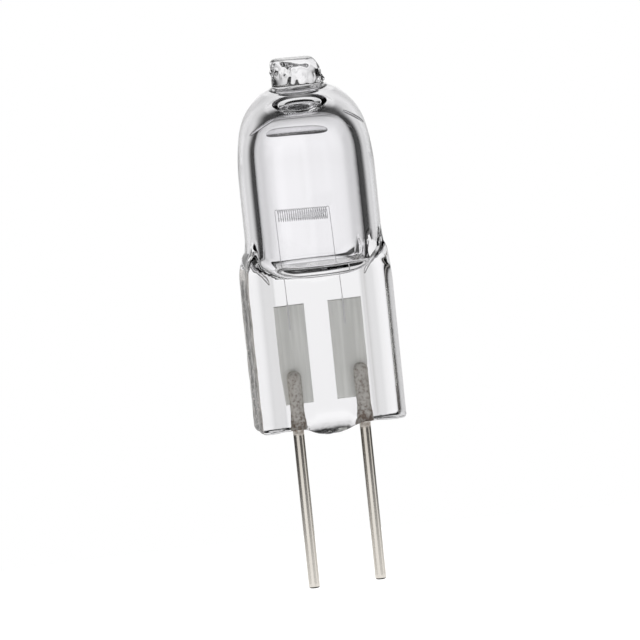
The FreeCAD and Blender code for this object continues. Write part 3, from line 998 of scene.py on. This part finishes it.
@dataclass
class Filament:
    """The tungsten filament: a coil along X, a leg down from each end and a flat foot on each foil."""

    middle_y: float
    axis_z: float
    foil_top: float
    foil_front: float
    coil_left: float = -1.87
    turns: int = 23
    turn_points: int = 30
    pitch: float = 0.13
    coil_radius: float = 0.37
    wire_radius: float = 0.023
    tilt_deg: float = 2.6
    tilt_span: float = 2.0
    bend: float = 0.13
    left_foot: float = -1.9
    right_foot: float = 1.4
    foot_half: float = 0.05
    foot_thin: float = 0.02
    foot_length: float = 1.5
    foot_fade: Pair = (0.25, -0.05)

    def leg(self, coil_end: float, side: int, foot: float) -> Array:
        """A leg's route from the foot's lower end to the coil's top: runs with a round bend over."""
        leg_x, top = coil_end + self.bend * side, self.axis_z + self.coil_radius
        turn = (180.0, 90.0) if side < 0 else (0.0, 90.0)
        flat = joined(
            run((foot, self.foil_top - self.foot_length), (foot, self.foil_top), 30),
            run((foot, self.foil_top), (leg_x, top - self.bend), 90),
            arc((coil_end, top - self.bend), self.bend, *turn, 12),
        )
        return np.column_stack((flat[:, 0], np.full(len(flat), self.middle_y), flat[:, 1]))

    def route(self) -> tuple[Array, Array]:
        """The wire's whole route and, at each point, a direction square to it.

        The coil is x = left + pitch * t, with (y, z) on a circle by angle 2 pi t. Its square direction
        is the radius, and a leg's is its heading crossed with Y.

        Returns:
            Points and directions, both count by 3.
        """
        turn = np.linspace(0.0, 2.0 * np.pi * self.turns, self.turn_points * self.turns + 1)
        spoke = np.column_stack((np.zeros_like(turn), -np.sin(turn), np.cos(turn)))
        coil = spoke * self.coil_radius + (0.0, self.middle_y, self.axis_z)
        coil[:, 0] = self.coil_left + self.pitch * turn / (2.0 * np.pi)
        left = self.leg(self.coil_left, -1, self.left_foot)
        right = self.leg(self.coil_left + self.pitch * self.turns, 1, self.right_foot)[::-1]
        legs = [np.cross(np.gradient(part, axis=0), (0.0, 1.0, 0.0)) for part in (left, right)]
        points = np.concatenate((left, coil, right))
        across = np.concatenate((legs[0], spoke, legs[1]))
        return self.ease(points), across

    @staticmethod
    def ease(points: Array, reach: int = 2) -> Array:
        """Rounds the route's corners: each point becomes the mean of its near neighbours, ends kept."""
        padded = np.pad(points, ((reach, reach), (0, 0)), mode="edge")
        spans = [padded[i : i + len(points)] for i in range(2 * reach + 1)]
        eased = np.mean(spans, axis=0)
        eased[0], eased[-1] = points[0], points[-1]
        return eased

    def build(self, finish: WireFinish) -> Piece:
        """Carries the wire's section along the route, round on coil and legs and flat on the feet."""
        points, across = self.route()
        along = np.gradient(points, axis=0)
        along /= np.linalg.norm(along, axis=1, keepdims=True)
        across = across - (across * along).sum(1, keepdims=True) * along
        across /= np.linalg.norm(across, axis=1, keepdims=True)
        over = np.cross(along, across)
        flat = smooth_ramp(points[:, 2], *(self.foil_top + fade for fade in self.foot_fade))
        wide = self.wire_radius + flat * (self.foot_half - self.wire_radius)
        thin = self.wire_radius + flat * (self.foot_thin - self.wire_radius)
        points[:, 1] += flat * (self.foil_front - self.foot_thin - self.middle_y)
        lift = ramp(points[:, 2], self.foil_top, self.foil_top + self.tilt_span)
        middle = self.coil_left + self.pitch * self.turns / 2
        points[:, 2] -= lift * (points[:, 0] - middle) * math.tan(math.radians(self.tilt_deg))
        wide[[0, -1]] = thin[[0, -1]] = 0.0
        turn = even_turns(10)[None, :, None]
        ring = wide[:, None, None] * np.cos(turn) * across[:, None, :]
        ring = ring + thin[:, None, None] * np.sin(turn) * over[:, None, :]
        return Piece("coiled_filament", [Shell(points[:, None, :] + ring)], finish.build())


@dataclass
class Foil:
    """A thin sealing foil, feathered at its edges, with its outer edge trimmed near the lower end."""

    low: Triple
    high: Triple
    side: int
    trim: float = 0.22
    trim_length: float = 2.0
    feather: float = 0.6
    ripple: float = 0.006

    def build(self, name: str, finish: FoilFinish) -> Piece:
        """Makes the foil: a flat oval section carried up Z, its width set by the trimmed outline.

        Args:
            name: The piece's name.
            finish: The foil's finish.

        Returns:
            The piece.
        """
        (left, front, bottom), (right, back, top) = self.low, self.high
        height = np.linspace(bottom, top, 90)[:, None]
        cut = self.trim * ramp(height, bottom + self.trim_length, bottom)
        left, right = (left + cut, right) if self.side < 0 else (left, right - cut)
        turn = even_turns(64)[None, :]
        wide = np.sign(np.cos(turn)) * np.abs(np.cos(turn)) ** self.feather
        x = (left + right) / 2 + (right - left) / 2 * wide
        closed = np.ones_like(height)
        closed[0] = closed[-1] = 0.0
        thick = (back - front) / 2 * np.sin(turn) * closed
        wave = self.ripple * np.sin(9.0 * x + 0.6 * np.sin(1.3 * height)) * (1.0 - wide**2)
        y = (front + back) / 2 + thick + wave
        grid = np.stack((x, y, height + 0 * x), axis=-1)
        return Piece(name, [Shell(grid)], finish.build())


@dataclass
class Pin:
    """A straight round pin with an eased tip, and a granular crust that fills its hole in the glass.

    The crust starts with a flare at the glass, from the wire out to a collar, and has a waist and a
    wider, rounded head above it.
    """

    x: float
    radius: float
    tip: float
    top: float
    ease: float = 0.1
    flare: Pair = (-0.12, 0.03)
    collar: float = 0.52
    waist: Pair = (0.415, 1.0)
    head: float = 0.43
    head_round: float = 0.95
    grain: float = 0.012
    grain_start: float = 0.2

    def build(self, name: str, finish: PinFinish) -> Piece:
        """Turns the pin's profile about its axis, grains its crust and moves it to its place in the row.

        Args:
            name: The piece's name.
            finish: The pin's finish.

        Returns:
            The piece.
        """
        radius, ease, cap = self.radius, self.ease, self.head * self.head_round
        below, above = self.flare
        profile = joined(
            run((0.0, self.tip), (radius - ease, self.tip), 4),
            arc((radius - ease, self.tip + ease), ease, -90.0, 0.0, 8),
            run((radius, self.tip + ease), (radius, below), 40),
            run((radius, below), (self.collar, above), 6),
            run((self.collar, above), self.waist, 14),
            run(self.waist, (self.head, self.top - cap), 34),
            arc((self.head - cap, self.top - cap), cap, 0.0, 90.0, 10),
            run((self.head - cap, self.top), (0.0, self.top), 5),
            [(0.0, self.top)],
        )
        turns = even_turns(64)
        grid = revolve(profile, turns)
        height = grid[..., 2]
        grains = np.sin(3 * turns - 14.0 * height + 2.0 * np.sin(7.0 * height))
        grains = grains * np.sin(5 * turns + 9.0 * height) * ramp(height, 0.0, self.grain_start)
        grid[..., :2] *= (1.0 + self.grain / self.waist[0] * grains)[..., None]
        return Piece(name, [Shell(grid + (self.x, 0.0, 0.0))], finish.build())


@dataclass(frozen=True)
class Softbox:
    """A pale studio panel that glass and metal show: a stretch of the horizon belt, in degrees.

    Azimuth 0 is the lamp's front, on -Y, and 90 its right side, on +X. One marked through is seen
    through glass alone.
    """

    azimuth: float
    half_width: float
    half_height: float
    strength: float
    edge: float
    through: bool = False


@dataclass
class Studio:
    """The white studio: world, floor, lamp and camera. Lengths are in millimetres, angles in degrees."""

    azimuth: float = -10.5
    elevation: float = 7.0
    roll: float = 5.9
    pixels_per_mm: float = 17.1
    aim: Triple = (-0.04, 0.0, 6.19)
    distance: float = 320.0
    clip_start: float = 10.0
    floor_z: float = -34.0
    floor_radius: float = 170.0
    floor_colour: Colour = (0.9, 0.9, 0.9, 1.0)
    floor_glow: float = 0.2
    # Painted shadow: glass and metal see the floor dark within these radii of its middle, rising to
    # white further out.
    painted_shadow_fade: Pair = (50.0, 95.0)
    painted_shadow_strength: float = 0.06
    lamp_size: float = 300.0
    lamp_energy: float = 1.2
    lamp_place: Triple = (-120.0, -160.0, 320.0)
    lamp_aim: Triple = (0.0, 0.0, 5.0)
    backdrop: float = 1.0
    even: float = 0.8
    dark: float = 0.03
    panels: tuple[Softbox, ...] = (
        Softbox(172.5, 35.0, 30.0, 0.72, 11.0),
        Softbox(171.0, 9.0, 12.0, 0.22, 8.0),
        Softbox(325.0, 28.0, 40.0, 0.95, 8.0),
        Softbox(62.0, 11.0, 38.0, 0.75, 7.0),
        Softbox(270.0, 32.0, 34.0, 0.75, 10.0, through=True),
        Softbox(36.0, 32.0, 34.0, 0.6, 10.0, through=True),
    )

    def build_world(self) -> None:
        """Makes the world: white for the camera, even light for matt faces, panels for glass and metal.

        A panel is lit where the level direction's cosine to its azimuth and the rise's sine are within
        its edges. A little over 1 keeps the root of 1 - z^2 above zero.
        """
        world = bpy.data.worlds.new("studio")
        bpy.context.scene.world = world
        world.use_nodes = True
        sheet = Sheet(world.node_tree)
        way = sheet.add("ShaderNodeTexCoord").outputs["Generated"]
        x, y, z = sheet.add("ShaderNodeSeparateXYZ", {"Vector": way}).outputs
        level = sheet.math("SQRT", sheet.math("SUBTRACT", 1.0001, sheet.math("MULTIPLY", z, z)))
        rise = sheet.math("ABSOLUTE", z)
        rays = sheet.add("ShaderNodeLightPath").outputs
        seen: object = self.dark
        for panel in self.panels:
            turn = math.radians(panel.azimuth)
            part = sheet.math("MULTIPLY", x, math.sin(turn))
            facing = sheet.math("MULTIPLY_ADD", y, -math.cos(turn), part)
            facing = sheet.math("DIVIDE", facing, level)
            beside = [math.cos(math.radians(panel.half_width + s * panel.edge)) for s in (1, -1)]
            above = [math.sin(math.radians(panel.half_height + s * panel.edge)) for s in (1, -1)]
            lit = sheet.math("MULTIPLY", sheet.remap(facing, *beside), sheet.remap(rise, *above))
            if panel.through:
                lit = sheet.math("MULTIPLY", lit, rays["Is Transmission Ray"])
            seen = sheet.math("MULTIPLY_ADD", lit, panel.strength, seen)
        even = sheet.math("MULTIPLY_ADD", rays["Is Camera Ray"], self.backdrop - self.even, self.even)
        values = {0: sheet.mirrored(rays), 2: even, 3: seen}
        strength = sheet.out("ShaderNodeMix", values, data_type="FLOAT")
        white = (1.0, 1.0, 1.0, 1.0)
        light = sheet.out("ShaderNodeBackground", {"Color": white, "Strength": strength})
        sheet.add("ShaderNodeOutputWorld", {"Surface": light})

    def build_floor(self) -> None:
        """Makes the pale floor, a disc below the lamp that glass and metal show as white further out and
        nearly black near its middle, a painted shadow.
        """
        material, sheet = new_material("studio_floor")
        mirrored = sheet.mirrored(sheet.add("ShaderNodeLightPath").outputs)
        matt = sheet.out("ShaderNodeBsdfDiffuse", {"Color": self.floor_colour})
        glow = sheet.out("ShaderNodeEmission", {"Strength": self.floor_glow})
        pale = sheet.out("ShaderNodeAddShader", {0: matt, 1: glow})
        away = sheet.add("ShaderNodeVectorMath", {0: sheet.place()}, operation="LENGTH").outputs["Value"]
        # Painted shadow: the glow that glass and metal see is nearly black near the floor's middle and
        # white beyond.
        bright = sheet.remap(away, *(fade * MM for fade in self.painted_shadow_fade), self.painted_shadow_strength, 1.0)
        white = sheet.out("ShaderNodeEmission", {"Strength": bright})
        both = sheet.out("ShaderNodeMixShader", {0: mirrored, 1: pale, 2: white})
        sheet.add("ShaderNodeOutputMaterial", {"Surface": both})
        turn = even_turns(96)
        rim = np.column_stack((np.cos(turn), np.sin(turn))) * self.floor_radius
        corners = np.column_stack((rim, np.full(len(rim), self.floor_z))) * MM
        mesh = bpy.data.meshes.new("studio_floor")
        mesh.from_pydata(corners.tolist(), [], [list(range(len(corners)))])
        mesh.materials.append(material)
        floor = bpy.data.objects.new("studio_floor", mesh)
        bpy.context.scene.collection.objects.link(floor)

    def build_lamp(self) -> None:
        """Hangs a large soft lamp above, which shapes matt faces and gives the floor its shadow."""
        light = bpy.data.lights.new("overhead", "AREA")
        light.shape = "DISK"
        light.size = self.lamp_size * MM
        light.energy = self.lamp_energy
        lamp = bpy.data.objects.new("overhead", light)
        lamp.location = Vector(self.lamp_place) * MM
        aim = Vector(self.lamp_aim) * MM - lamp.location
        lamp.rotation_euler = aim.to_track_quat("-Z", "Y").to_euler()
        lamp.visible_glossy = False
        lamp.visible_transmission = False
        bpy.context.scene.collection.objects.link(lamp)

    def build_camera(self) -> None:
        """Sets a long-lens camera at the photograph's angle, rolled so that the lamp leans left."""
        camera = bpy.data.cameras.new("photo_camera")
        camera.lens = camera.sensor_width * self.distance * self.pixels_per_mm / PHOTO_PIXELS
        camera.clip_start = self.clip_start * MM
        holder = bpy.data.objects.new("photo_camera", camera)
        steps = ((self.azimuth, "Z"), (90.0 - self.elevation, "X"), (-self.roll, "Z"))
        place = Matrix.Translation(Vector(self.aim) * MM)
        for turn, axis in steps:
            place = place @ Matrix.Rotation(math.radians(turn), 4, axis)
        holder.matrix_world = place @ Matrix.Translation((0.0, 0.0, self.distance * MM))
        bpy.context.scene.collection.objects.link(holder)
        bpy.context.scene.camera = holder

    def build(self) -> None:
        """Makes the world, the floor, the lamp and the camera, and sets the plain view transform."""
        self.build_world()
        self.build_floor()
        self.build_lamp()
        self.build_camera()
        bpy.context.scene.view_settings.view_transform = "Standard"


def box_mm(node: str) -> tuple[Array, Array]:
    """A CAD node's lowest and highest corners in millimetres."""
    low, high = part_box(node)
    return np.array(low) / MM, np.array(high) / MM


def main() -> None:
    """Builds the lamp's pieces in order, then the studio, and notes the sizes."""
    logging.basicConfig(level=logging.INFO)
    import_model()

    glass_high = box_mm("glass_capsule")[1]
    pins = {name: box_mm(name) for name in ("left_pin", "right_pin")}
    foils = {name: box_mm(name) for name in ("left_foil", "right_foil")}
    wire_low, wire_high = box_mm("filament")

    reach = float(np.mean(pins["right_pin"], axis=0)[0])
    capsule = Capsule(
        half_width=float(glass_high[0]),
        radius=float(glass_high[1]),
        tip_top=float(glass_high[2]),
        pin_reach=reach,
    )
    clear = QuartzFinish(capsule.half_width)
    # Painted shade: the side faces' glass gets a dark brown-grey tint for the shade they show at a
    # grazing view. Their roughness is the real pressed surface.
    edge = replace(clear, name="pressed_quartz_painted_shade", roughness=0.2, painted_light_tint=(0.42, 0.38, 0.34, 1.0))
    capsule.build(clear, edge).stands_for("glass_capsule", Slot.QUARTZ)

    foil_low, foil_high = foils["left_foil"]
    filament = Filament(
        middle_y=float(wire_low[1] + wire_high[1]) / 2,
        axis_z=float(wire_high[2]) - COIL_DROP,
        foil_top=float(foil_high[2]),
        foil_front=float(foil_low[1]),
    )
    filament.build(WireFinish()).stands_for("filament", Slot.TUNGSTEN)

    for name, (low, high) in foils.items():
        side = -1 if name.startswith("left") else 1
        piece = Foil(tuple(low), tuple(high), side).build(f"{name}_sheet", FoilFinish())
        piece.stands_for(name, Slot.MOLYBDENUM)
    for name, (low, high) in pins.items():
        middle = float(low[0] + high[0]) / 2
        pin = Pin(middle, float(high[0] - low[0]) / 2, float(low[2]), float(high[2]))
        pin.build(f"{name}_wire", PinFinish()).stands_for(name, Slot.NICKEL)

    Studio().build()


if __name__ == "__main__":
    main()
